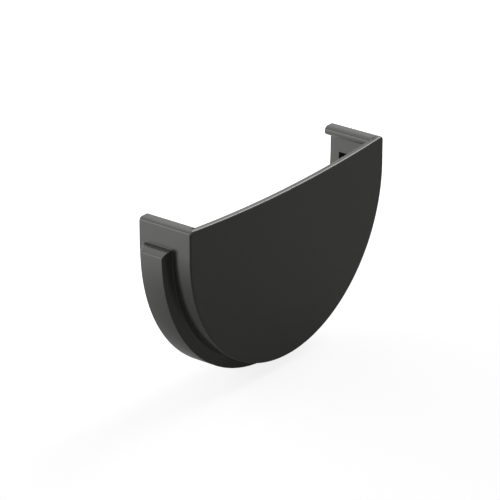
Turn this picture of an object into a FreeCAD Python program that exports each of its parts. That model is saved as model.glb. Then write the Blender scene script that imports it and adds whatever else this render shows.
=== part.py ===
# Gutter end cap: a moulded plastic cap that closes the end of a half-round rain gutter.
# The plate stands across the gutter's end, and its rim goes back round the gutter's outside.
# Two rounded lips hook over the gutter's edges, and a rubber seal sits in a raised channel.
# Millimetres. X is across the gutter, +Y along the gutter and away from the cap, and +Z is up.
# The origin is on the plate's inner face, at the centre of the gutter's half round.
import FreeCAD, Part
import math
import os
import Sketcher

# Driving dimensions, each with the note that goes beside it in the sheet.
SIZES = (
    ("rim_width", 125.0, "outside width of the rim, across its two legs"),
    ("leg_height", 11.4, "straight leg of the rim, from the half round's centre to the top"),
    ("rim_depth", 22.9, "rim from the plate's inner face to its open end"),
    ("rim_wall", 2.1, "wall of the rim"),
    ("plate_thickness", 2.1, "end plate"),
    ("top_sag", 2.7, "dip of the plate's concave top edge at its middle"),
    ("corner_round", 1.6, "outer top corners of the rim and the plate"),
    ("plate_edge_round", 0.6, "rounded border of the plate's outer face"),
    ("lip_reach", 4.2, "lip from the rim's inner face to its nose"),
    ("lip_thickness", 4.0, "lip from top to underside, with a half-round nose"),
    ("channel_centre", 13.4, "middle of the seal channel from the plate's inner face"),
    ("channel_height", 4.7, "channel above the rim's outer face"),
    ("channel_slope", 15.0, "slope of the channel's side walls, in degrees"),
    ("channel_wall", 2.1, "side walls and floor of the channel"),
    ("channel_end", 1.9, "top of the channel above the half round's centre"),
    ("channel_end_round", 2.0, "rounded outer corner of the channel's two ends"),
    ("channel_bevel", 0.25, "bevel along the channel's outer edges"),
    ("groove_mouth", 9.9, "width of the seal groove where it opens into the rim"),
    ("seal_gap", 0.1, "clearance between the seal and its groove"),
    ("rib_height", 0.7, "sealing rib above the seal's face"),
    ("rib_width", 1.6, "sealing rib at its foot"),
    ("rib_tip", 0.5, "sealing rib at its tip"),
    ("rib_spacing", 3.0, "from one sealing rib to the next"),
    ("rib_count", 3.0, "sealing ribs"),
    ("rib_end_angle", 7.0, "plain end of the seal with no ribs, in degrees"),
)
S = {name: value for name, value, note in SIZES}


def make_sheet(doc):
    """Write the driving dimensions into the sheet, one row each, with an alias."""
    sheet = doc.addObject("Spreadsheet::Sheet", "sizes")
    for row, (name, value, note) in enumerate(SIZES, start=1):
        sheet.set("A%d" % row, name)
        sheet.set("B%d" % row, repr(value))
        sheet.set("C%d" % row, note)
        sheet.setAlias("B%d" % row, name)
    doc.recompute()
    return sheet


def origin_part(body, role):
    """A plane or an axis of the body's own origin."""
    return next(part for part in body.Origin.OriginFeatures if part.Role == role)


def new_sketch(body, name, plane):
    """An empty sketch on one of the body's origin planes."""
    sketch = body.newObject("Sketcher::SketchObject", name)
    sketch.AttachmentSupport = [(origin_part(body, plane), "")]
    sketch.MapMode = "FlatFace"
    return sketch


def line(start, end):
    return Part.LineSegment(FreeCAD.Vector(*start, 0), FreeCAD.Vector(*end, 0))


def arc(centre, radius, start_angle, end_angle):
    """Arc drawn anticlockwise between two angles in degrees."""
    circle = Part.Circle(FreeCAD.Vector(*centre, 0), FreeCAD.Vector(0, 0, 1), radius)
    return Part.ArcOfCircle(circle, math.radians(start_angle), math.radians(end_angle))


START, END, CENTRE = 1, 2, 3
ORIGIN = (-1, START)
UP_AXIS = -2


def rule(sketch, kind, *where):
    """Add a constraint that has no size."""
    sketch.addConstraint(Sketcher.Constraint(kind, *where))


def bind(sketch, index, name, formula):
    """Name a constraint and bind it to cells of the sheet."""
    sketch.renameConstraint(index, name)
    sketch.setExpression("Constraints." + name, formula)


def across(sketch, name, low, high, formula):
    """Horizontal distance from the point low to the point high."""
    length = sketch.getPoint(*high).x - sketch.getPoint(*low).x
    index = sketch.addConstraint(Sketcher.Constraint("DistanceX", *low, *high, length))
    bind(sketch, index, name, formula)


def upward(sketch, name, low, high, formula):
    """Vertical distance from the point low to the point high."""
    length = sketch.getPoint(*high).y - sketch.getPoint(*low).y
    index = sketch.addConstraint(Sketcher.Constraint("DistanceY", *low, *high, length))
    bind(sketch, index, name, formula)


def radius(sketch, name, edge, formula):
    index = sketch.addConstraint(Sketcher.Constraint("Radius", edge, sketch.Geometry[edge].Radius))
    bind(sketch, index, name, formula)


def join(sketch, kind, first, second):
    """Join two edge ends, smoothly when kind is Tangent or as a corner when it is Coincident."""
    rule(sketch, kind, *first, *second)


def bind_slope(sketch, name, edge, formula):
    """Angle of a line against the sketch's horizontal."""
    ends = sketch.Geometry[edge]
    run = ends.EndPoint - ends.StartPoint
    angle = math.atan2(run.y, run.x)
    index = sketch.addConstraint(Sketcher.Constraint("Angle", edge, angle))
    bind(sketch, index, name, formula)


# Formulas over the sheet that more than one sketch uses.
OUTER = "sizes.rim_width / 2"
INNER = "(sizes.rim_width / 2 - sizes.rim_wall)"
TAN = "tan(sizes.channel_slope * 1 deg)"
COS = "cos(sizes.channel_slope * 1 deg)"
NOSE = INNER + " - sizes.lip_reach + sizes.lip_thickness / 2"
CHANNEL_TOP = "(sizes.rim_width / 2 + sizes.channel_height)"
MIDDLE = "sizes.channel_centre"
GROOVE_FLOOR = "(sizes.rim_width / 2 + sizes.channel_height - sizes.channel_wall)"

# The same values as plain numbers, to draw each sketch near its final size.
outer = S["rim_width"] / 2
inner = outer - S["rim_wall"]
top = S["leg_height"]
corner = S["corner_round"]
tan = math.tan(math.radians(S["channel_slope"]))
cos = math.cos(math.radians(S["channel_slope"]))
channel_top = outer + S["channel_height"]
groove_floor = channel_top - S["channel_wall"]
CUT_OVERRUN = 1.0


def groove_half(depth, gap="0"):
    """Formula: half the groove's width at a distance from the axis, less a clearance."""
    return "(sizes.groove_mouth / 2 - (%s - %s) * %s - %s / %s)" % (depth, INNER, TAN, gap, COS)


def channel_half(depth):
    """Formula: half the channel's outside width at a distance from the axis."""
    return "(%s + sizes.channel_wall / %s)" % (groove_half(depth), COS)


def groove_half_number(depth, gap=0.0):
    return S["groove_mouth"] / 2 - (depth - inner) * tan - gap / cos


def channel_half_number(depth):
    return groove_half_number(depth) + S["channel_wall"] / cos


def draw_plate(body):
    """The plate: half round below, two legs, rounded corners and a concave arc on top."""
    sketch = new_sketch(body, "plate_outline", "XZ_Plane")
    reach = outer - corner
    top_radius = (reach ** 2 + S["top_sag"] ** 2) / (2 * S["top_sag"]) - corner
    top_centre = (0, top - S["top_sag"] + top_radius)
    lean = math.degrees(math.atan2(top - corner - top_centre[1], reach))
    below, right, right_corner, over, left_corner, left = range(6)
    sketch.addGeometry([
        arc((0, 0), outer, 180, 360),
        line((outer, 0), (outer, top - corner)),
        arc((reach, top - corner), corner, 0, 180 + lean),
        arc(top_centre, top_radius, 180 - lean, 360 + lean),
        arc((-reach, top - corner), corner, -lean, 180),
        line((-outer, top - corner), (-outer, 0)),
    ])
    for first, second in (
        ((below, END), (right, START)),
        ((right, END), (right_corner, START)),
        ((right_corner, END), (over, END)),
        ((over, START), (left_corner, START)),
        ((left_corner, END), (left, START)),
        ((left, END), (below, START)),
    ):
        join(sketch, "Tangent", first, second)
    rule(sketch, "Coincident", below, CENTRE, *ORIGIN)
    rule(sketch, "Vertical", right)
    rule(sketch, "Vertical", left)
    radius(sketch, "outside", below, OUTER)
    radius(sketch, "right_corner_round", right_corner, "sizes.corner_round")
    radius(sketch, "left_corner_round", left_corner, "sizes.corner_round")
    upward(sketch, "right_leg", ORIGIN, (right, END), "sizes.leg_height - sizes.corner_round")
    upward(sketch, "left_leg", ORIGIN, (left, START), "sizes.leg_height - sizes.corner_round")
    radius(sketch, "top_arc", over,
           "((%s - sizes.corner_round) ^ 2 + sizes.top_sag ^ 2) / (2 * sizes.top_sag)"
           " - sizes.corner_round" % OUTER)
    return sketch


def draw_rim(body):
    """The rim's section: a U of even wall with rounded outer top corners."""
    sketch = new_sketch(body, "rim_section", "XZ_Plane")
    (outside, right, right_corner, right_top, right_inside,
     inside, left_inside, left_top, left_corner, left) = range(10)
    sketch.addGeometry([
        arc((0, 0), outer, 180, 360),
        line((outer, 0), (outer, top - corner)),
        arc((outer - corner, top - corner), corner, 0, 90),
        line((outer - corner, top), (inner, top)),
        line((inner, top), (inner, 0)),
        arc((0, 0), inner, 180, 360),
        line((-inner, 0), (-inner, top)),
        line((-inner, top), (corner - outer, top)),
        arc((corner - outer, top - corner), corner, 90, 180),
        line((-outer, top - corner), (-outer, 0)),
    ])
    for kind, first, second in (
        ("Tangent", (outside, END), (right, START)),
        ("Tangent", (right, END), (right_corner, START)),
        ("Tangent", (right_corner, END), (right_top, START)),
        ("Coincident", (right_top, END), (right_inside, START)),
        ("Tangent", (right_inside, END), (inside, END)),
        ("Tangent", (inside, START), (left_inside, START)),
        ("Coincident", (left_inside, END), (left_top, START)),
        ("Tangent", (left_top, END), (left_corner, START)),
        ("Tangent", (left_corner, END), (left, START)),
        ("Tangent", (left, END), (outside, START)),
    ):
        join(sketch, kind, first, second)
    rule(sketch, "Coincident", outside, CENTRE, *ORIGIN)
    rule(sketch, "Coincident", inside, CENTRE, *ORIGIN)
    for edge in (right, right_inside, left_inside, left):
        rule(sketch, "Vertical", edge)
    for edge in (right_top, left_top):
        rule(sketch, "Horizontal", edge)
    radius(sketch, "outside", outside, OUTER)
    radius(sketch, "inside", inside, INNER)
    radius(sketch, "right_corner_round", right_corner, "sizes.corner_round")
    radius(sketch, "left_corner_round", left_corner, "sizes.corner_round")
    upward(sketch, "right_leg", ORIGIN, (right_top, START), "sizes.leg_height")
    upward(sketch, "left_leg", ORIGIN, (left_top, END), "sizes.leg_height")
    return sketch


def draw_lip(body):
    """The right lip's section: flat above and below, with a half-round nose."""
    sketch = new_sketch(body, "lip_section", "XZ_Plane")
    thick = S["lip_thickness"]
    nose_x = inner - S["lip_reach"] + thick / 2
    above, nose, under, root = range(4)
    sketch.addGeometry([
        line((inner, top), (nose_x, top)),
        arc((nose_x, top - thick / 2), thick / 2, 90, 270),
        line((nose_x, top - thick), (inner, top - thick)),
        line((inner, top - thick), (inner, top)),
    ])
    join(sketch, "Tangent", (above, END), (nose, START))
    join(sketch, "Tangent", (nose, END), (under, START))
    join(sketch, "Coincident", (under, END), (root, START))
    join(sketch, "Coincident", (root, END), (above, START))
    rule(sketch, "Horizontal", above)
    rule(sketch, "Horizontal", under)
    rule(sketch, "Vertical", root)
    radius(sketch, "nose_round", nose, "sizes.lip_thickness / 2")
    upward(sketch, "top_height", ORIGIN, (above, START), "sizes.leg_height")
    across(sketch, "root_place", ORIGIN, (root, START), INNER)
    across(sketch, "nose_place", ORIGIN, (nose, CENTRE), NOSE)
    return sketch


def draw_section(sketch, stations, across_first, middle, middle_formula):
    """A closed section that is even about a middle line.

    Each station is a depth from the axis and a half width there, as numbers and as formulas.
    across_first is True where the sketch's horizontal is the depth, as in the legs' section.
    """
    low = [(depth, middle - half) for depth, half, _, _ in stations]
    high = [(depth, middle + half) for depth, half, _, _ in reversed(stations)]
    points = low + high
    if across_first:
        deep, wide, straight = across, upward, "Vertical"
    else:
        points = [(place, -depth) for depth, place in points]
        deep, wide, straight = upward, across, "Horizontal"
    sketch.addGeometry([line(a, b) for a, b in zip(points, points[1:] + points[:1])])
    count = len(points)
    for edge in range(count):
        rule(sketch, "Coincident", edge, END, (edge + 1) % count, START)
    for number, (_, _, depth_formula, half_formula) in enumerate(stations):
        near, mirrored = (number, START), (count - 1 - number, START)
        ends = (ORIGIN, near) if across_first else (near, ORIGIN)
        deep(sketch, "depth_%d" % number, *ends, depth_formula)
        rule(sketch, straight, *near, *mirrored)
        for side, sign, point in (("low", "-", near), ("high", "+", mirrored)):
            wide(sketch, "%s_%d" % (side, number), ORIGIN, point,
                 "%s %s %s" % (middle_formula, sign, half_formula))
    return sketch


def channel_stations():
    """The channel's outside section, from inside the rim's wall out to its bevelled face."""
    bevel = S["channel_bevel"]
    root = outer - S["rim_wall"] / 2
    root_formula = "(%s - sizes.rim_wall / 2)" % OUTER
    shoulder = channel_top - bevel
    shoulder_formula = "(%s - sizes.channel_bevel)" % CHANNEL_TOP
    return (
        (root, channel_half_number(root), root_formula, channel_half(root_formula)),
        (shoulder, channel_half_number(shoulder), shoulder_formula, channel_half(shoulder_formula)),
        (channel_top, channel_half_number(shoulder) - bevel, CHANNEL_TOP,
         "(%s - sizes.channel_bevel)" % channel_half(shoulder_formula)),
    )


def draw_channel(body, name, plane, across_first):
    sketch = new_sketch(body, name, plane)
    return draw_section(sketch, channel_stations(), across_first, S["channel_centre"], MIDDLE)


def draw_groove(body):
    """The seal groove's section, which runs past its mouth into the open rim."""
    mouth = inner - CUT_OVERRUN
    mouth_formula = "(%s - %s)" % (INNER, CUT_OVERRUN)
    stations = (
        (mouth, groove_half_number(mouth), mouth_formula, groove_half(mouth_formula)),
        (groove_floor, groove_half_number(groove_floor), GROOVE_FLOOR, groove_half(GROOVE_FLOOR)),
    )
    sketch = new_sketch(body, "groove_section", "YZ_Plane")
    return draw_section(sketch, stations, False, S["channel_centre"], MIDDLE)


def draw_end_trim(body):
    """What is cut off the channel's right end: its top slopes and turns over in an arc."""
    sketch = new_sketch(body, "channel_end_outline", "XZ_Plane")
    turn = S["channel_end_round"]
    slope = S["channel_slope"]
    centre_x = channel_top - turn
    centre_y = S["channel_end"] - (centre_x - outer) * tan - turn / cos
    touch = (centre_x + turn * math.sin(math.radians(slope)), centre_y + turn * cos)
    far_x = channel_top + CUT_OVERRUN
    high_y = S["channel_end"] + CUT_OVERRUN
    ramp, bend, low, far, high, near = range(6)
    sketch.addGeometry([
        line(touch, (outer, S["channel_end"])),
        arc((centre_x, centre_y), turn, 0, 90 - slope),
        line((channel_top, centre_y), (far_x, centre_y)),
        line((far_x, centre_y), (far_x, high_y)),
        line((far_x, high_y), (outer, high_y)),
        line((outer, high_y), (outer, S["channel_end"])),
    ])
    join(sketch, "Tangent", (bend, END), (ramp, START))
    join(sketch, "Coincident", (bend, START), (low, START))
    join(sketch, "Coincident", (low, END), (far, START))
    join(sketch, "Coincident", (far, END), (high, START))
    join(sketch, "Coincident", (high, END), (near, START))
    join(sketch, "Coincident", (near, END), (ramp, END))
    for edge in (low, high):
        rule(sketch, "Horizontal", edge)
    for edge in (far, near):
        rule(sketch, "Vertical", edge)
    rule(sketch, "Horizontal", bend, CENTRE, bend, START)
    bind_slope(sketch, "end_slope", ramp, "180 deg - sizes.channel_slope * 1 deg")
    radius(sketch, "end_round", bend, "sizes.channel_end_round")
    across(sketch, "end_root", ORIGIN, (ramp, END), OUTER)
    across(sketch, "bend_place", ORIGIN, (bend, CENTRE), CHANNEL_TOP + " - sizes.channel_end_round")
    across(sketch, "cut_width", ORIGIN, (far, START), CHANNEL_TOP + " + %s" % CUT_OVERRUN)
    upward(sketch, "end_height", ORIGIN, (ramp, END), "sizes.channel_end")
    upward(sketch, "cut_height", ORIGIN, (far, END), "sizes.channel_end + %s" % CUT_OVERRUN)
    return sketch


def pad(body, name, sketch, length, reverse):
    """Pad a sketch; on the XZ plane the plain direction is -Y."""
    feature = body.newObject("PartDesign::Pad", name)
    feature.Profile = sketch
    feature.Reversed = reverse
    feature.setExpression("Length", length)
    sketch.Visibility = False
    return feature


def turn_about_y(body, kind, name, sketch, angle):
    """Revolve a section drawn below the Y axis, by the same angle to both sides."""
    feature = body.newObject(kind, name)
    feature.Profile = sketch
    feature.ReferenceAxis = (sketch, ["H_Axis"])
    feature.Midplane = True
    feature.setExpression("Angle", angle)
    return feature


def mirror(body, name, originals):
    """Repeat features on the other side of the YZ plane."""
    feature = body.newObject("PartDesign::Mirrored", name)
    feature.Originals = originals
    feature.MirrorPlane = (origin_part(body, "YZ_Plane"), [""])
    body.Tip = feature
    return feature


def edge_names(shape, wanted):
    """Names of the edges for which wanted(edge) is true."""
    return ["Edge%d" % number for number, edge in enumerate(shape.Edges, start=1) if wanted(edge)]


def round_edges(doc, body, name, wanted, size):
    """Fillet the chosen edges of the body as it stands."""
    doc.recompute()
    base = body.Tip
    feature = body.newObject("PartDesign::Fillet", name)
    feature.Base = (base, edge_names(base.Shape, wanted))
    feature.setExpression("Radius", size)
    return feature


def on_plate_front(edge):
    return all(abs(vertex.Y + S["plate_thickness"]) < 1e-4 for vertex in edge.Vertexes)


def make_cap_body(doc):
    body = doc.addObject("PartDesign::Body", "cap_body")
    body.Label = "cap_body"
    pad(body, "plate", draw_plate(body), "sizes.plate_thickness", False)
    pad(body, "rim", draw_rim(body), "sizes.rim_depth", True)
    lip = pad(body, "lip", draw_lip(body), "sizes.rim_depth", True)
    mirror(body, "lips", [lip])
    section = draw_channel(body, "channel_section", "YZ_Plane", False)
    turn_about_y(body, "PartDesign::Revolution", "channel", section, "180")
    leg_section = draw_channel(body, "channel_leg_section", "XY_Plane", True)
    leg = pad(body, "channel_leg", leg_section, "sizes.channel_end", False)
    doc.recompute()
    trim = body.newObject("PartDesign::Pocket", "channel_end_trim")
    trim.Profile = draw_end_trim(body)
    trim.Type = "ThroughAll"
    trim.Midplane = True
    doc.recompute()
    mirror(body, "channel_ends", [leg, trim])
    turn_about_y(body, "PartDesign::Groove", "seal_groove", draw_groove(body), "180")
    round_edges(doc, body, "plate_border", on_plate_front, "sizes.plate_edge_round")
    return body


def draw_seal(body):
    """The seal's base: it fills the groove, less a clearance, up to the rim's inner face."""
    gap = S["seal_gap"]
    floor = groove_floor - gap
    floor_formula = "(%s - sizes.seal_gap)" % GROOVE_FLOOR
    stations = (
        (inner, groove_half_number(inner, gap), INNER, groove_half(INNER, "sizes.seal_gap")),
        (floor, groove_half_number(floor, gap), floor_formula,
         groove_half(floor_formula, "sizes.seal_gap")),
    )
    sketch = new_sketch(body, "seal_section", "YZ_Plane")
    return draw_section(sketch, stations, False, S["channel_centre"], MIDDLE)


def draw_rib(body):
    """The first sealing rib: a tapered fin above the seal's face, rooted in the base."""
    rise = S["rib_height"]
    half = S["rib_width"] / 2
    stations = (
        (inner - rise, S["rib_tip"] / 2, "(%s - sizes.rib_height)" % INNER, "sizes.rib_tip / 2"),
        (inner, half, INNER, "sizes.rib_width / 2"),
        (inner + rise, half, "(%s + sizes.rib_height)" % INNER, "sizes.rib_width / 2"),
    )
    middle = S["channel_centre"] - S["rib_spacing"] * (S["rib_count"] - 1) / 2
    sketch = new_sketch(body, "rib_section", "YZ_Plane")
    return draw_section(sketch, stations, False, middle,
                        MIDDLE + " - sizes.rib_spacing * (sizes.rib_count - 1) / 2")


def make_seal(doc):
    body = doc.addObject("PartDesign::Body", "seal")
    body.Label = "seal"
    end_gap = "2 * asin(sizes.seal_gap / %s) / 1 deg" % INNER
    turn_about_y(body, "PartDesign::Revolution", "seal_base", draw_seal(body), "180 - " + end_gap)
    rib = turn_about_y(body, "PartDesign::Revolution", "rib", draw_rib(body),
                       "180 - 2 * sizes.rib_end_angle")
    doc.recompute()
    ribs = body.newObject("PartDesign::LinearPattern", "ribs")
    ribs.Originals = [rib]
    ribs.Direction = (origin_part(body, "Y_Axis"), [""])
    ribs.setExpression("Length", "sizes.rib_spacing * (sizes.rib_count - 1)")
    ribs.setExpression("Occurrences", "sizes.rib_count")
    body.Tip = ribs
    return body


def check(doc, bodies):
    """Stop before anything is written if a feature failed or a piece isn't one sound solid."""
    for feature in doc.Objects:
        if "Invalid" in feature.State or "Error" in feature.State:
            raise RuntimeError("%s failed: %s" % (feature.Name, feature.State))
    for body in bodies:
        if body.Shape.isNull() or not body.Shape.isValid() or len(body.Shape.Solids) != 1:
            raise RuntimeError("%s is not one valid solid" % body.Label)
    cut = doc.getObject("channel_ends").Shape.Volume - doc.getObject("seal_groove").Shape.Volume
    if cut < doc.getObject("seal_base").Shape.Volume:
        raise RuntimeError("the seal groove was not cut")


def main():
    doc = FreeCAD.newDocument("gutter_end_cap")
    make_sheet(doc)
    bodies = [make_cap_body(doc), make_seal(doc)]
    doc.recompute()
    check(doc, bodies)
    os.makedirs("parts", exist_ok=True)
    for body in bodies:
        body.Shape.exportStep("parts/%s.step" % body.Label)
        print(body.Label, "volume", round(body.Shape.Volume, 1), "mm3")


main()
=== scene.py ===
import math

import bmesh
import bpy
import numpy as np
from mathutils import Euler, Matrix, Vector


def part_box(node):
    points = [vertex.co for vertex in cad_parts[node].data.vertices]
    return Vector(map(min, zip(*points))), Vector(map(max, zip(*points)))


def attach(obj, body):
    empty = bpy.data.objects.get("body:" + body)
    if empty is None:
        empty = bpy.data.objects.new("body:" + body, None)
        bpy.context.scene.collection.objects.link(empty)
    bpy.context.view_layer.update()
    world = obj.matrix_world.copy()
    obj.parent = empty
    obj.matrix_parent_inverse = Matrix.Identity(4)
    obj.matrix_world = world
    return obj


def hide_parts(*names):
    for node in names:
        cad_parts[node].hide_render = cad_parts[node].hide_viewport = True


bl_info = {
    "name": "Gutter End Cap",
    "version": (1, 0, 0),
    "blender": (4, 5, 0),
    "location": "3D View > Sidebar > Gutter End Cap",
    "description": "Builds a moulded end cap for a half-round gutter, with its seal and a studio",
    "category": "Object",
}

# The packed model is in metres: X across the gutter, +Y away from the cap, +Z up.
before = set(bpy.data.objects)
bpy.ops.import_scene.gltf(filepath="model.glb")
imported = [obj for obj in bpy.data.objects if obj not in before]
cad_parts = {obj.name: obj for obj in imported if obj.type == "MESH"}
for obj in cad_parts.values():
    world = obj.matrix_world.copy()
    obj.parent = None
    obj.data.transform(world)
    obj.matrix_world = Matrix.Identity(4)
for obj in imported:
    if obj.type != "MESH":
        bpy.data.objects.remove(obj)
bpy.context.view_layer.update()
cap_low, cap_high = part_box("cap_body")

# Stations along the curves.
HALF_ROUND_STEPS = 121
SEAL_STEPS = 181
TOP_EDGE_STEPS = 41
CORNER_STEPS = 9
BAND_STEPS = 6
END_FALL_STEPS = 12
END_ROUND_STEPS = 9
BORDER_STEPS = 11
OPEN_END_STEPS = 7

# Edges sharper than this angle stay sharp, and points nearer than this distance become one.
SMOOTH_BELOW = math.radians(28)
WELD = 1e-7

# A band's rounding takes at most this share of the band's height.
ROUND_SHARE = 0.45
# Degrees from the channel's end to the next station round.
AFTER_END = 0.8
# The plate's front face starts this many border radii in from the outline, and its side has a
# column this many radii behind the rounding.
FACE_INSET = 1.5
SIDE_COLUMN = 0.3
# A sealing rib's shoulder, as a share of the way from tip to foot, and the rib's section as
# shares of its height. The ribs rise over this angle.
RIB_SHOULDER = 0.15
RIB_SECTION = (0.0, 0.86, 0.97, 1.0, 0.97, 0.86, 0.0)
RIB_RISE = math.radians(1.0)

# Each lamp: name, azimuth and elevation of its place in degrees, distance, width and height in
# metres, and brightness. Azimuth 0 is along -Y and turns towards +X.
LAMPS = (
    ("left_back_lamp", -145.0, 13.0, 1.3, 1.2, 0.65, 1.7),
    ("back_lamp", 180.0, 13.0, 1.3, 1.6, 0.65, 4.0),
    ("top_back_lamp", 180.0, 60.0, 1.3, 1.6, 0.8, 0.5),
    ("top_lamp", 0.0, 88.0, 1.3, 1.6, 1.6, 0.2),
    ("right_lamp", 82.0, 42.0, 1.3, 0.8, 0.55, 5.6),
)

# The world's light, and the floor's painted reflection and painted shade: the strength of its glow
# in reflections in front of the cap, the places along Y between which that glow climbs to white,
# its grey in front, painted darker as shade, the rise of that grey, and what lifts it to white for
# the camera.
ROOM_LEVEL = 0.02
DIM_IN_FRONT = 0.087
WHITE_BEHIND = (0.015, 0.12)
FLOOR_SHADE_GREY = (0.2, 0.6)
WHITE_LIFT = 0.86
# The floor lies this far below the cap.
FLOOR_GAP = 1e-5


def length(name, value, description):
    """A size in metres for a property group."""
    return bpy.props.FloatProperty(
        name=name, description=description, default=value, min=0.0, precision=5,
        subtype="DISTANCE", unit="LENGTH",
    )


def angle(name, degrees, description):
    """An angle for a property group, given in degrees."""
    return bpy.props.FloatProperty(
        name=name, description=description, default=math.radians(degrees),
        subtype="ANGLE", unit="ROTATION",
    )


def colour(name, value, description):
    """A linear colour for a property group."""
    return bpy.props.FloatVectorProperty(
        name=name, description=description, default=value, size=3, min=0.0, max=1.0,
        subtype="COLOR",
    )


class CapSizes(bpy.types.PropertyGroup):
    """Sizes of the moulded cap."""

    rim_width: length("Rim width", 0.125, "Outside width of the rim, across its two legs")
    leg_height: length("Leg height", cap_high.z, "Straight leg above the half round's centre")
    rim_depth: length("Rim depth", cap_high.y, "From the plate's inner face to the open end")
    rim_wall: length("Rim wall", 0.0021, "Wall of the rim")
    plate_thickness: length("Plate thickness", -cap_low.y, "Thickness of the end plate")
    top_sag: length("Top sag", 0.0027, "Dip of the plate's concave top edge")
    corner_round: length("Corner round", 0.0016, "Outer top corners of the rim and plate")
    border_round: length("Border round", 0.0006, "Rounded border of the plate's outer face")
    end_round: length("End round", 0.00025, "Softened edges of the rim's open end")
    lip_reach: length("Lip reach", 0.0042, "From the rim's inner face to the lip's nose")
    lip_thickness: length("Lip thickness", 0.004, "Lip from top to underside")
    lip_root_round: length("Lip root round", 0.0004, "Hollow corner beneath the lip")


class ChannelSizes(bpy.types.PropertyGroup):
    """Sizes of the raised seal channel and of the groove inside it."""

    centre: length("Centre", 0.0134, "Middle of the channel from the plate's inner face")
    height: length("Height", 0.0047, "Channel above the rim's outer face")
    slope: angle("Side slope", 15.0, "Slope of the channel's side walls")
    wall: length("Wall", 0.0021, "Side walls and floor of the channel")
    end_height: length("End height", 0.0019, "Top of the channel above the half round's centre")
    end_lean: angle("End lean", 8.0, "Slope of the channel's ends where they leave the wall")
    end_turn: angle("End turn", 38.0, "Slope of the channel's ends before their outer edge")
    end_round: length("End round", 0.0012, "Rounded outer edge of the channel's ends")
    crown_round: length("Crown round", 0.00025, "Rounding along the channel's outer edges")
    foot_round: length("Foot round", 0.00025, "Hollow rounding along the channel's foot")
    groove_mouth: length("Groove mouth", 0.0099, "Width of the seal groove where it opens")


class SealSizes(bpy.types.PropertyGroup):
    """Sizes of the rubber seal."""

    gap: length("Gap", 0.0001, "Clearance between the seal and its groove")
    rib_height: length("Rib height", 0.0007, "Sealing rib above the seal's face")
    rib_width: length("Rib width", 0.0016, "Sealing rib at its foot")
    rib_tip: length("Rib tip", 0.0005, "Sealing rib at its tip")
    rib_spacing: length("Rib spacing", 0.003, "From one sealing rib to the next")
    rib_count: bpy.props.IntProperty(
        name="Rib count", description="Number of sealing ribs", default=3, min=1, max=3
    )
    rib_end: angle("Plain end", 7.0, "Plain end of the seal with no ribs")


class FinishSettings(bpy.types.PropertyGroup):
    """Colours and gloss of the two materials."""

    plastic: colour("Graphite plastic", (0.06, 0.06, 0.05), "Moulded plastic of the cap")
    plastic_roughness: bpy.props.FloatProperty(
        name="Plastic roughness", description="0 is a mirror and 1 is chalk", default=0.2,
        min=0.0, max=1.0, subtype="FACTOR",
    )
    rubber: colour("Black rubber", (0.002, 0.002, 0.002), "Rubber of the seal")
    rubber_roughness: bpy.props.FloatProperty(
        name="Rubber roughness", description="0 is a mirror and 1 is chalk", default=0.9,
        min=0.0, max=1.0, subtype="FACTOR",
    )


class StageSettings(bpy.types.PropertyGroup):
    """The camera and the studio light."""

    camera_place: bpy.props.FloatVectorProperty(
        name="Camera place", description="Where the camera stands",
        default=(-0.88998, -0.66696, 0.46923), size=3, subtype="TRANSLATION", unit="LENGTH",
    )
    azimuth: angle("Azimuth", -52.423, "Camera's turn about the vertical")
    elevation: angle("Elevation", 23.656, "Camera's height above the level, as an angle")
    lens: bpy.props.FloatProperty(
        name="Lens", description="Focal length on a 36 mm wide sensor", default=222.2,
        subtype="DISTANCE_CAMERA",
    )
    floor_size: length("Floor size", 6.0, "Side of the square floor")


SIZE_GROUPS = {
    "cap_sizes": CapSizes,
    "channel_sizes": ChannelSizes,
    "seal_sizes": SealSizes,
    "finish_settings": FinishSettings,
    "stage_settings": StageSettings,
}


def arc(centre, radius, start, end, count, hollow=False):
    """Points and outward directions along an arc, with its angles in degrees.

    point = centre + radius * (cos a, sin a); the direction is (cos a, sin a), or its
    opposite where the material lies outside the arc.
    """
    a = np.radians(np.linspace(start, end, count))
    direction = np.column_stack([np.cos(a), np.sin(a)])
    points = np.asarray(centre) + radius * direction
    return points, -direction if hollow else direction


def join_outline(*parts):
    """Join parts of an outline end to end, without points that repeat the one before them."""
    points = np.concatenate([part[0] for part in parts])
    directions = np.concatenate([part[1] for part in parts])
    step = np.linalg.norm(points - np.roll(points, 1, axis=0), axis=1)
    turn = np.linalg.norm(directions - np.roll(directions, 1, axis=0), axis=1)
    keep = (step > 1e-7) | (turn > 1e-4)
    return points[keep], directions[keep]


def hollow_foot(radius, slope):
    """Arc that leads from a wall into a flank: distance before the flank's foot, and height."""
    turn = math.pi / 2 - slope
    a = np.linspace(0.0, turn, BAND_STEPS)
    return radius * (math.tan(turn / 2) - np.sin(a)), radius * (1 - np.cos(a))


def band_profile(height, half_foot, slope, foot_round, crown_round):
    """Section of a raised or sunken band at each station, as offsets along Y and heights.

    Each side is a foot arc that leaves the wall, a straight flank leaning in by the slope, and a
    crown arc that turns into the flat top: y = half_foot - |h| tan(slope) along the flank. Both
    arcs turn by 90 degrees less the slope. A negative height gives a groove of the same form, and
    a height of zero brings a side together at its foot.
    """
    size = np.abs(height)[:, None]
    before, rise = hollow_foot(1.0, slope)
    foot = np.minimum(foot_round, ROUND_SHARE * size)
    crown = np.minimum(crown_round, ROUND_SHARE * size)
    half_top = half_foot - size * math.tan(slope)
    side_y = np.concatenate([half_foot + foot * before, half_top - crown * before[::-1]], axis=1)
    side_h = np.concatenate([foot * rise, size - crown * rise[::-1]], axis=1)
    y = np.concatenate([-side_y, side_y[:, ::-1]], axis=1)
    h = np.concatenate([side_h, side_h[:, ::-1]], axis=1)
    return y, h * np.sign(height)[:, None]


def rounded_edge(radius, count):
    """Quarter round between a side and an end face: travel past the tangent point, and inset."""
    a = np.linspace(0.0, math.pi / 2, count)
    return radius * np.sin(a), radius * (1 - np.cos(a))


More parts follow.
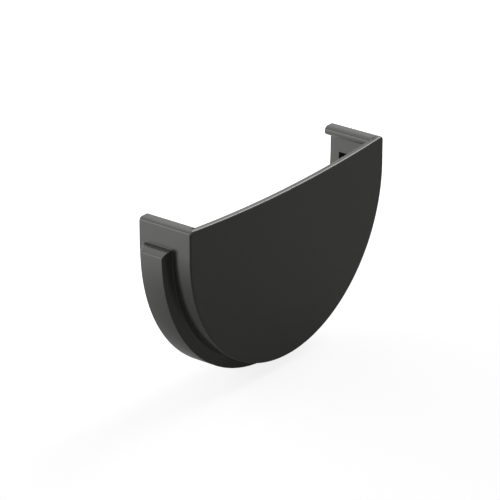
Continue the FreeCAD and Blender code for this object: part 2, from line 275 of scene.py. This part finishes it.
def grid_faces(rows, columns):
    """Outward faces of a grid whose rows close and run anticlockwise seen from -Y."""
    i, k = np.meshgrid(np.arange(rows), np.arange(columns - 1), indexing="ij")
    j = (i + 1) % rows
    return np.stack(
        [i * columns + k, i * columns + k + 1, j * columns + k + 1, j * columns + k], axis=-1
    ).reshape(-1, 4)


def swept_solid(points, directions, y, height):
    """Vertices and faces of a closed outline carried along Y, with a flat face at each end.

    vertex = (x + height * dx, y, z + height * dz) for each station of the outline and each
    column of the section.
    """
    rows, columns = height.shape
    x = points[:, :1] + height * directions[:, :1]
    z = points[:, 1:] + height * directions[:, 1:]
    vertices = np.stack([x, np.broadcast_to(y, height.shape), z], axis=-1).reshape(-1, 3)
    front = np.arange(rows) * columns
    faces = grid_faces(rows, columns).tolist()
    faces.append(front.tolist())
    faces.append((front[::-1] + columns - 1).tolist())
    return vertices, faces


def make_piece(name, solids, smooth_below):
    """One mesh object from several closed solids, smooth except at edges sharper than an angle.

    Points of a solid that fall together become one, which closes the columns that a band folds.
    The normals are weighted by area, so that flat faces stay flat up to their roundings.
    """
    work = bmesh.new()
    mesh = bpy.data.meshes.new(name)
    for vertices, faces in solids:
        done = len(work.verts)
        solid = bpy.data.meshes.new("solid")
        solid.from_pydata(vertices.tolist(), [], faces)
        work.from_mesh(solid)
        bpy.data.meshes.remove(solid)
        work.verts.ensure_lookup_table()
        bmesh.ops.remove_doubles(work, verts=work.verts[done:], dist=WELD)
        work.verts.index_update()
    work.to_mesh(mesh)
    work.free()
    mesh.shade_smooth()
    mesh.set_sharp_from_angle(angle=smooth_below)
    piece = bpy.data.objects.new(name, mesh)
    bpy.context.scene.collection.objects.link(piece)
    weights = piece.modifiers.new("weighted_normals", "WEIGHTED_NORMAL")
    weights.keep_sharp = True
    return piece


def channel_end_stations(channel):
    """Heights of the channel and levels above the centre at its end, from the wall outwards.

    A hollow foot turns out of the wall. Then the end falls in an arc between two turns, S and T,
    from the level, and a smaller arc rounds the outer edge:
    h = R (sin t - sin S) and z = c - R (cos S - cos t) up to T, where c is the end's level at the
    wall and R = (H - r (1 - sin T)) / (sin T - sin S) for a full height H and an outer round r.
    """
    start, turn, small = channel.end_lean, channel.end_turn, channel.end_round
    large = (channel.height - small * (1 - math.sin(turn))) / (math.sin(turn) - math.sin(start))
    before, foot_h = hollow_foot(channel.foot_round, start)
    reached = math.asin(math.sin(start) + channel.foot_round / large)
    falling = np.linspace(reached, turn, END_FALL_STEPS)
    rounding = np.linspace(turn, math.pi / 2, END_ROUND_STEPS)[1:]
    edge_h = channel.height - small
    edge_z = -large * (math.cos(start) - math.cos(turn)) - small * math.cos(turn)
    heights = np.concatenate([
        foot_h[:-1], large * (np.sin(falling) - math.sin(start)), edge_h + small * np.sin(rounding),
    ])
    levels = channel.end_height + np.concatenate([
        before[:-1], large * (np.cos(falling) - math.cos(start)), edge_z + small * np.cos(rounding),
    ])
    return heights, levels


def outer_side(cap, channel):
    """Points, directions and channel heights down the left leg, round below and up the right."""
    outer = cap.rim_width / 2
    heights, levels = channel_end_stations(channel)
    on_leg = levels >= 0
    level = np.where(on_leg, levels, levels / (1 + heights / outer))
    a = np.where(on_leg, 0.0, np.arcsin(np.clip(-level / outer, 0, 1)))
    end_points = np.column_stack([-outer * np.cos(a), np.where(on_leg, level, -outer * np.sin(a))])
    end_directions = np.column_stack([-np.cos(a), -np.sin(a)])
    low = math.degrees(a[-1]) + AFTER_END
    points, directions = arc((0, 0), outer, 180 + low, 360 - low, HALF_ROUND_STEPS)
    mirrored = np.array([-1.0, 1.0])
    return (
        np.concatenate([end_points, points, end_points[::-1] * mirrored]),
        np.concatenate([end_directions, directions, end_directions[::-1] * mirrored]),
        np.concatenate([heights, np.full(len(points), channel.height), heights[::-1]]),
    )


def groove_depth(cap, channel):
    """Depth of the seal groove from the rim's inner face."""
    return channel.height + cap.rim_wall - channel.wall


def inner_side(cap, channel):
    """Points, directions and groove heights round the rim's inside, from right to left.

    The groove stops square at the level of the half round's centre, so that station is twice
    there, once plain and once with the groove.
    """
    inner = cap.rim_width / 2 - cap.rim_wall
    points, directions = arc((0, 0), inner, 360, 180, HALF_ROUND_STEPS, hollow=True)
    depth = np.full(len(points), -groove_depth(cap, channel))
    return (
        np.concatenate([points[:1], points, points[-1:]]),
        np.concatenate([directions[:1], directions, directions[-1:]]),
        np.concatenate([[0.0], depth, [0.0]]),
    )


def rim_solid(cap, channel):
    """The rim with its lips, seal channel and groove: one closed outline carried along Y."""
    outer = cap.rim_width / 2
    inner = outer - cap.rim_wall
    top = cap.leg_height
    corner = cap.corner_round
    nose = cap.lip_thickness / 2
    nose_x = inner - cap.lip_reach + nose
    under = top - cap.lip_thickness
    root = cap.lip_root_round
    corner_x, corner_z = outer - corner, top - corner
    outside = outer_side(cap, channel)
    inside = inner_side(cap, channel)
    parts = [
        arc((-corner_x, corner_z), corner, 90, 180, CORNER_STEPS),
        outside[:2],
        arc((corner_x, corner_z), corner, 0, 90, CORNER_STEPS),
        arc((nose_x, top - nose), nose, 90, 270, 2 * CORNER_STEPS),
        arc((inner - root, under - root), root, 90, 0, CORNER_STEPS, hollow=True),
        inside[:2],
        arc((root - inner, under - root), root, 180, 90, CORNER_STEPS, hollow=True),
        arc((-nose_x, top - nose), nose, 270, 450, 2 * CORNER_STEPS),
    ]
    heights = [np.zeros(len(part[0])) for part in parts]
    heights[1], heights[5] = outside[2], inside[2]
    half = [np.full(len(part[0]), channel_foot(cap, channel)) for part in parts]
    half[5:] = [np.full(len(part[0]), channel.groove_mouth / 2) for part in parts[5:]]
    points = np.concatenate([part[0] for part in parts])
    directions = np.concatenate([part[1] for part in parts])
    band_y, band_h = band_profile(
        np.concatenate(heights), np.concatenate(half)[:, None], channel.slope,
        channel.foot_round, channel.crown_round,
    )
    rows = len(points)
    travel, inset = rounded_edge(cap.end_round, OPEN_END_STEPS)
    beside_end = 2 * cap.end_round
    end_y = np.concatenate([cap.rim_depth - cap.end_round + travel, [cap.rim_depth]])
    end_h = -np.concatenate([inset, [beside_end]])
    y = np.concatenate([
        np.zeros((rows, 1)),
        channel.centre + band_y,
        np.tile([cap.rim_depth - beside_end], (rows, 1)),
        np.tile(end_y, (rows, 1)),
    ], axis=1)
    height = np.concatenate([
        np.zeros((rows, 1)), band_h, np.zeros((rows, 1)), np.tile(end_h, (rows, 1)),
    ], axis=1)
    return swept_solid(points, directions, y, height)


def channel_foot(cap, channel):
    """Half the channel's width where it leaves the rim's outer face."""
    to_outer = cap.rim_wall * math.tan(channel.slope)
    return channel.groove_mouth / 2 - to_outer + channel.wall / math.cos(channel.slope)


def plate_solid(cap, channel):
    """The end plate: half round, two legs, rounded corners and a hollow arc on top.

    The top arc's radius is (w^2 + s^2) / (2 s) less the corner's, where w is half the width
    between the corner centres and s is the sag.
    """
    outer = cap.rim_width / 2
    corner = cap.corner_round
    corner_x, corner_z = outer - corner, cap.leg_height - corner
    outside = outer_side(cap, channel)
    top_radius = (corner_x ** 2 + cap.top_sag ** 2) / (2 * cap.top_sag) - corner
    top_z = cap.leg_height - cap.top_sag + top_radius
    lean = math.degrees(math.atan2(top_z - corner_z, corner_x))
    points, directions = join_outline(
        arc((-corner_x, corner_z), corner, lean, 180, CORNER_STEPS),
        outside[:2],
        arc((corner_x, corner_z), corner, 0, 180 - lean, CORNER_STEPS),
        arc((0, top_z), top_radius, 360 - lean, 180 + lean, TOP_EDGE_STEPS, hollow=True),
    )
    travel, inset = rounded_edge(cap.border_round, BORDER_STEPS)
    front = cap.border_round - cap.plate_thickness
    side = front + SIDE_COLUMN * cap.border_round
    y = np.concatenate([[-cap.plate_thickness], (front - travel)[::-1], [side, 0.0]])
    height = -np.concatenate([[FACE_INSET * cap.border_round], inset[::-1], [0.0, 0.0]])
    return swept_solid(points, directions, y, np.tile(height, (len(points), 1)))


def seal_solid(cap, channel, seal):
    """The seal: a wedge-shaped strip with ribs, carried round below the centre.

    vertex = (-r cos a, y, -r sin a); r is the rim's inner radius less the rib's height, which
    fades to nothing before each end.
    """
    inner = cap.rim_width / 2 - cap.rim_wall
    end = math.asin(seal.gap / inner)
    a = np.linspace(end, math.pi - end, SEAL_STEPS)
    side = seal.gap / math.cos(channel.slope)
    mouth_half = channel.groove_mouth / 2 - side
    depth = groove_depth(cap, channel) - seal.gap
    floor_half = mouth_half - depth * math.tan(channel.slope)
    foot, tip = seal.rib_width / 2, seal.rib_tip / 2
    shoulder = tip + RIB_SHOULDER * (foot - tip)
    rib_y = np.array([-foot, -shoulder, -tip, 0, tip, shoulder, foot])
    rib_h = seal.rib_height * np.array(RIB_SECTION)
    middles = (np.arange(seal.rib_count) - (seal.rib_count - 1) / 2) * seal.rib_spacing
    face_y = (middles[:, None] + rib_y).ravel()
    face_h = np.tile(rib_h, seal.rib_count)
    y = channel.centre + np.concatenate(
        [[-floor_half, -mouth_half], face_y, [mouth_half, floor_half]]
    )
    from_end = np.minimum(a - end, math.pi - end - a)
    fade = np.clip((from_end - seal.rib_end) / RIB_RISE, 0, 1)
    fade = fade * fade * (3 - 2 * fade)
    radius = inner - fade[:, None] * face_h
    radius = np.concatenate([
        np.full((len(a), 1), inner + depth), np.full((len(a), 1), inner), radius,
        np.full((len(a), 1), inner), np.full((len(a), 1), inner + depth),
    ], axis=1)
    rows, columns = radius.shape
    x = -radius * np.cos(a)[:, None]
    z = -radius * np.sin(a)[:, None]
    vertices = np.stack([x, np.broadcast_to(y, radius.shape), z], axis=-1).reshape(-1, 3)
    i = np.arange(rows - 1)[:, None]
    k = np.arange(columns)[None, :]
    k_next = (k + 1) % columns
    faces = np.stack(np.broadcast_arrays(
        i * columns + k, (i + 1) * columns + k, (i + 1) * columns + k_next, i * columns + k_next,
    ), axis=-1).reshape(-1, 4).tolist()
    faces.append(np.arange(columns).tolist())
    faces.append((np.arange(columns)[::-1] + (rows - 1) * columns).tolist())
    return vertices, faces


def add_node(tree, kind, place, **inputs):
    """A node at a place in the tree, with values set on its inputs by name."""
    node = tree.nodes.new(kind)
    node.location = place
    for name, value in inputs.items():
        node.inputs[name.replace("_", " ")].default_value = value
    return node


def moulded_surface_group():
    """Shader group: the fine grain and slow mottle of a moulded surface, on object coordinates."""
    name = "moulded_surface"
    if name in bpy.data.node_groups:
        return bpy.data.node_groups[name]
    tree = bpy.data.node_groups.new(name, "ShaderNodeTree")
    for label, kind, value in (
        ("Colour", "NodeSocketColor", (0.05, 0.05, 0.05, 1.0)),
        ("Mottle", "NodeSocketFloat", 0.06),
        ("Roughness", "NodeSocketFloat", 0.4),
        ("Roughness Change", "NodeSocketFloat", 0.04),
        ("Grain Scale", "NodeSocketFloat", 2500.0),
        ("Grain Depth", "NodeSocketFloat", 0.02),
    ):
        socket = tree.interface.new_socket(name=label, in_out="INPUT", socket_type=kind)
        socket.default_value = value
    for label, kind in (
        ("Colour", "NodeSocketColor"), ("Roughness", "NodeSocketFloat"),
        ("Normal", "NodeSocketVector"),
    ):
        tree.interface.new_socket(name=label, in_out="OUTPUT", socket_type=kind)
    group_in = add_node(tree, "NodeGroupInput", (-900, 0))
    group_out = add_node(tree, "NodeGroupOutput", (700, 0))
    place = add_node(tree, "ShaderNodeTexCoord", (-900, -300))
    slow = add_node(tree, "ShaderNodeTexNoise", (-650, 250), Scale=45.0, Detail=3.0, Roughness=0.55)
    fine = add_node(tree, "ShaderNodeTexNoise", (-650, -200), Detail=2.0, Roughness=0.6)
    centred = add_node(tree, "ShaderNodeMath", (-420, 250))
    centred.operation = "SUBTRACT"
    centred.inputs[1].default_value = 0.5
    shade = add_node(tree, "ShaderNodeMath", (-220, 300))
    shade.operation = "MULTIPLY_ADD"
    shade.inputs[2].default_value = 1.0
    scaled = add_node(tree, "ShaderNodeVectorMath", (0, 250))
    scaled.operation = "SCALE"
    rough = add_node(tree, "ShaderNodeMath", (0, 50))
    rough.operation = "MULTIPLY_ADD"
    bump = add_node(tree, "ShaderNodeBump", (250, -200), Distance=0.0001)
    link = tree.links.new
    link(place.outputs["Object"], slow.inputs["Vector"])
    link(place.outputs["Object"], fine.inputs["Vector"])
    link(group_in.outputs["Grain Scale"], fine.inputs["Scale"])
    link(slow.outputs["Fac"], centred.inputs[0])
    link(centred.outputs[0], shade.inputs[0])
    link(group_in.outputs["Mottle"], shade.inputs[1])
    link(group_in.outputs["Colour"], scaled.inputs[0])
    link(shade.outputs[0], scaled.inputs["Scale"])
    link(centred.outputs[0], rough.inputs[0])
    link(group_in.outputs["Roughness Change"], rough.inputs[1])
    link(group_in.outputs["Roughness"], rough.inputs[2])
    link(fine.outputs["Fac"], bump.inputs["Height"])
    link(group_in.outputs["Grain Depth"], bump.inputs["Strength"])
    link(scaled.outputs[0], group_out.inputs["Colour"])
    link(rough.outputs[0], group_out.inputs["Roughness"])
    link(bump.outputs["Normal"], group_out.inputs["Normal"])
    return tree


def moulded_material(name, base, roughness, specular, mottle, grain_scale, grain_depth):
    """A plastic or rubber finish from the moulded surface group and one Principled shader."""
    material = bpy.data.materials.new(name)
    material.use_nodes = True
    material.diffuse_color = (*base, 1.0)
    tree = material.node_tree
    shader = tree.nodes["Principled BSDF"]
    shader.inputs["Specular IOR Level"].default_value = specular
    surface = tree.nodes.new("ShaderNodeGroup")
    surface.node_tree = moulded_surface_group()
    surface.location = (-320, 200)
    surface.inputs["Colour"].default_value = (*base, 1.0)
    surface.inputs["Mottle"].default_value = mottle
    surface.inputs["Roughness"].default_value = roughness
    surface.inputs["Grain Scale"].default_value = grain_scale
    surface.inputs["Grain Depth"].default_value = grain_depth
    tree.links.new(surface.outputs["Colour"], shader.inputs["Base Color"])
    tree.links.new(surface.outputs["Roughness"], shader.inputs["Roughness"])
    tree.links.new(surface.outputs["Normal"], shader.inputs["Normal"])
    return material


def graphite_plastic(finish):
    """Satin graphite plastic of the cap."""
    return moulded_material(
        "satin_graphite_plastic", tuple(finish.plastic), finish.plastic_roughness,
        specular=0.8, mottle=0.08, grain_scale=2600.0, grain_depth=0.05,
    )


def black_rubber(finish):
    """Dull black rubber of the seal."""
    return moulded_material(
        "black_seal_rubber", tuple(finish.rubber), finish.rubber_roughness,
        specular=0.08, mottle=0.15, grain_scale=3500.0, grain_depth=0.1,
    )


class OBJECT_OT_build_cap(bpy.types.Operator):
    """Build the moulded cap: the end plate and the rim with its lips and seal channel."""

    bl_idname = "object.build_gutter_cap"
    bl_label = "Build Cap"

    def execute(self, context):
        scene = context.scene
        cap, channel = scene.cap_sizes, scene.channel_sizes
        solids = [plate_solid(cap, channel), rim_solid(cap, channel)]
        piece = make_piece("cap", solids, SMOOTH_BELOW)
        piece.data.materials.append(graphite_plastic(scene.finish_settings))
        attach(piece, "root")
        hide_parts("cap_body")
        return {"FINISHED"}


class OBJECT_OT_build_seal(bpy.types.Operator):
    """Build the ribbed rubber seal that sits in the channel's groove."""

    bl_idname = "object.build_gutter_seal"
    bl_label = "Build Seal"

    def execute(self, context):
        scene = context.scene
        solid = seal_solid(scene.cap_sizes, scene.channel_sizes, scene.seal_sizes)
        piece = make_piece("rubber_seal", [solid], SMOOTH_BELOW)
        piece.data.materials.append(black_rubber(scene.finish_settings))
        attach(piece, "root")
        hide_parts("seal")
        return {"FINISHED"}


def white_ground_material():
    """A pale floor that reads as white to the camera and keeps the cap's shadow.

    Reflections show it as a painted reflection: a glow seen only by reflected rays, white behind
    the cap and dim in front of it, where it stands in for shade. The strength s climbs smoothly
    from DIM_IN_FRONT to 1 along Y between the two WHITE_BEHIND places, and the floor's grey with
    it, painted darker in front as shade: grey = FLOOR_SHADE_GREY[0] + FLOOR_SHADE_GREY[1] s.
    """
    material = bpy.data.materials.new("white_ground")
    material.use_nodes = True
    tree = material.node_tree
    tree.nodes.clear()
    out = add_node(tree, "ShaderNodeOutputMaterial", (700, 0))
    lit = add_node(tree, "ShaderNodeBsdfDiffuse", (200, 250))
    glow = add_node(tree, "ShaderNodeEmission", (200, -100), Color=(1.0, 1.0, 1.0, 1.0))
    both = add_node(tree, "ShaderNodeAddShader", (450, 0))
    rays = add_node(tree, "ShaderNodeLightPath", (-900, 200))
    seen = add_node(tree, "ShaderNodeMath", (-650, 250))
    seen.operation = "MAXIMUM"
    place = add_node(tree, "ShaderNodeTexCoord", (-900, -150))
    parts = add_node(tree, "ShaderNodeSeparateXYZ", (-650, -150))
    climb = add_node(tree, "ShaderNodeMapRange", (-400, -150))
    climb.interpolation_type = "SMOOTHSTEP"
    climb.inputs["From Min"].default_value = WHITE_BEHIND[0]
    climb.inputs["From Max"].default_value = WHITE_BEHIND[1]
    climb.inputs["To Min"].default_value = DIM_IN_FRONT
    shade = add_node(tree, "ShaderNodeMath", (-100, 250))
    shade.operation = "MULTIPLY_ADD"
    shade.inputs[1].default_value = FLOOR_SHADE_GREY[1]
    shade.inputs[2].default_value = FLOOR_SHADE_GREY[0]
    reflected = add_node(tree, "ShaderNodeMath", (-400, 100))
    reflected.operation = "MULTIPLY"
    strength = add_node(tree, "ShaderNodeMath", (-100, 0))
    strength.operation = "MULTIPLY_ADD"
    strength.inputs[1].default_value = WHITE_LIFT
    link = tree.links.new
    link(rays.outputs["Is Camera Ray"], seen.inputs[0])
    link(rays.outputs["Is Transmission Ray"], seen.inputs[1])
    link(place.outputs["Object"], parts.inputs[0])
    link(parts.outputs["Y"], climb.inputs["Value"])
    # Painted reflection: the floor glows for reflected rays, dim in front of the cap and white
    # behind it.
    link(rays.outputs["Is Glossy Ray"], reflected.inputs[0])
    link(climb.outputs["Result"], reflected.inputs[1])
    # Painted shade: the floor's grey is darker in front of the cap than behind it.
    link(climb.outputs["Result"], shade.inputs[0])
    link(shade.outputs[0], lit.inputs["Color"])
    link(seen.outputs[0], strength.inputs[0])
    link(reflected.outputs[0], strength.inputs[2])
    link(strength.outputs[0], glow.inputs["Strength"])
    link(lit.outputs[0], both.inputs[0])
    link(glow.outputs[0], both.inputs[1])
    link(both.outputs[0], out.inputs["Surface"])
    return material


def studio_world(level):
    """A dim even room, which the camera and reflections see as a white backdrop."""
    world = bpy.data.worlds.new("studio")
    bpy.context.scene.world = world
    world.use_nodes = True
    tree = world.node_tree
    tree.nodes.clear()
    out = add_node(tree, "ShaderNodeOutputWorld", (500, 0))
    room = add_node(tree, "ShaderNodeBackground", (0, 100), Color=(1.0, 1.0, 1.0, 1.0))
    room.inputs["Strength"].default_value = level
    white = add_node(tree, "ShaderNodeBackground", (0, -100), Color=(1.0, 1.0, 1.0, 1.0))
    rays = add_node(tree, "ShaderNodeLightPath", (-600, 200))
    seen = add_node(tree, "ShaderNodeMath", (-350, 250))
    seen.operation = "MAXIMUM"
    shown = add_node(tree, "ShaderNodeMath", (-150, 250))
    shown.operation = "MAXIMUM"
    mix = add_node(tree, "ShaderNodeMixShader", (250, 0))
    link = tree.links.new
    link(rays.outputs["Is Camera Ray"], seen.inputs[0])
    link(rays.outputs["Is Transmission Ray"], seen.inputs[1])
    link(rays.outputs["Is Glossy Ray"], shown.inputs[0])
    link(seen.outputs[0], shown.inputs[1])
    link(shown.outputs[0], mix.inputs[0])
    link(room.outputs[0], mix.inputs[1])
    link(white.outputs[0], mix.inputs[2])
    link(mix.outputs[0], out.inputs["Surface"])


def add_lamp(name, azimuth, elevation, distance, width, height, brightness):
    """A soft rectangular lamp that looks at the cap's middle, as bright over its whole face."""
    a, e = math.radians(azimuth), math.radians(elevation)
    place = distance * Vector((math.sin(a) * math.cos(e), -math.cos(a) * math.cos(e), math.sin(e)))
    lamp = bpy.data.lights.new(name, "AREA")
    lamp.shape = "RECTANGLE"
    lamp.size = width
    lamp.size_y = height
    lamp.energy = brightness * math.pi * width * height
    holder = bpy.data.objects.new(name, lamp)
    holder.location = place
    holder.rotation_euler = place.to_track_quat("Z", "Y").to_euler()
    bpy.context.scene.collection.objects.link(holder)


class SCENE_OT_build_stage(bpy.types.Operator):
    """Build the floor, the soft lamps and the camera."""

    bl_idname = "scene.build_gutter_stage"
    bl_label = "Build Stage"

    def execute(self, context):
        scene = context.scene
        stage = scene.stage_settings
        half = stage.floor_size / 2
        level = cap_low.z - FLOOR_GAP
        corners = np.array([[-1, -1], [1, -1], [1, 1], [-1, 1]]) * half
        mesh = bpy.data.meshes.new("floor")
        places = np.column_stack([corners, np.full(len(corners), level)])
        mesh.from_pydata(places.tolist(), [], [[0, 1, 2, 3]])
        mesh.materials.append(white_ground_material())
        floor = bpy.data.objects.new("floor", mesh)
        scene.collection.objects.link(floor)
        studio_world(ROOM_LEVEL)
        for lamp in LAMPS:
            add_lamp(*lamp)
        camera = bpy.data.cameras.new("camera")
        camera.sensor_width = 36.0
        camera.lens = stage.lens
        camera.clip_start = 0.05
        camera.clip_end = 50.0
        holder = bpy.data.objects.new("camera", camera)
        holder.location = stage.camera_place
        holder.rotation_euler = Euler((math.pi / 2 - stage.elevation, 0.0, stage.azimuth))
        scene.collection.objects.link(holder)
        scene.camera = holder
        scene.view_settings.view_transform = "Standard"
        return {"FINISHED"}


class VIEW3D_PT_gutter_cap(bpy.types.Panel):
    """Sizes, finishes and build buttons of the gutter end cap."""

    bl_label = "Gutter End Cap"
    bl_idname = "VIEW3D_PT_gutter_cap"
    bl_space_type = "VIEW_3D"
    bl_region_type = "UI"
    bl_category = "Gutter End Cap"

    def draw(self, context):
        layout = self.layout
        for name, group in SIZE_GROUPS.items():
            box = layout.box()
            box.label(text=group.__doc__.rstrip("."))
            settings = getattr(context.scene, name)
            for prop in group.__annotations__:
                box.prop(settings, prop)
        for operator in BUILD_STEPS:
            layout.operator(operator.bl_idname)


BUILD_STEPS = (OBJECT_OT_build_cap, OBJECT_OT_build_seal, SCENE_OT_build_stage)
CLASSES = (*SIZE_GROUPS.values(), *BUILD_STEPS, VIEW3D_PT_gutter_cap)


def register():
    for cls in CLASSES:
        bpy.utils.register_class(cls)
    for name, group in SIZE_GROUPS.items():
        setattr(bpy.types.Scene, name, bpy.props.PointerProperty(type=group))


def unregister():
    for name in SIZE_GROUPS:
        delattr(bpy.types.Scene, name)
    for cls in reversed(CLASSES):
        bpy.utils.unregister_class(cls)


def main():
    register()
    bpy.ops.object.build_gutter_cap()
    bpy.ops.object.build_gutter_seal()
    bpy.ops.scene.build_gutter_stage()


if __name__ == "__main__":
    main()
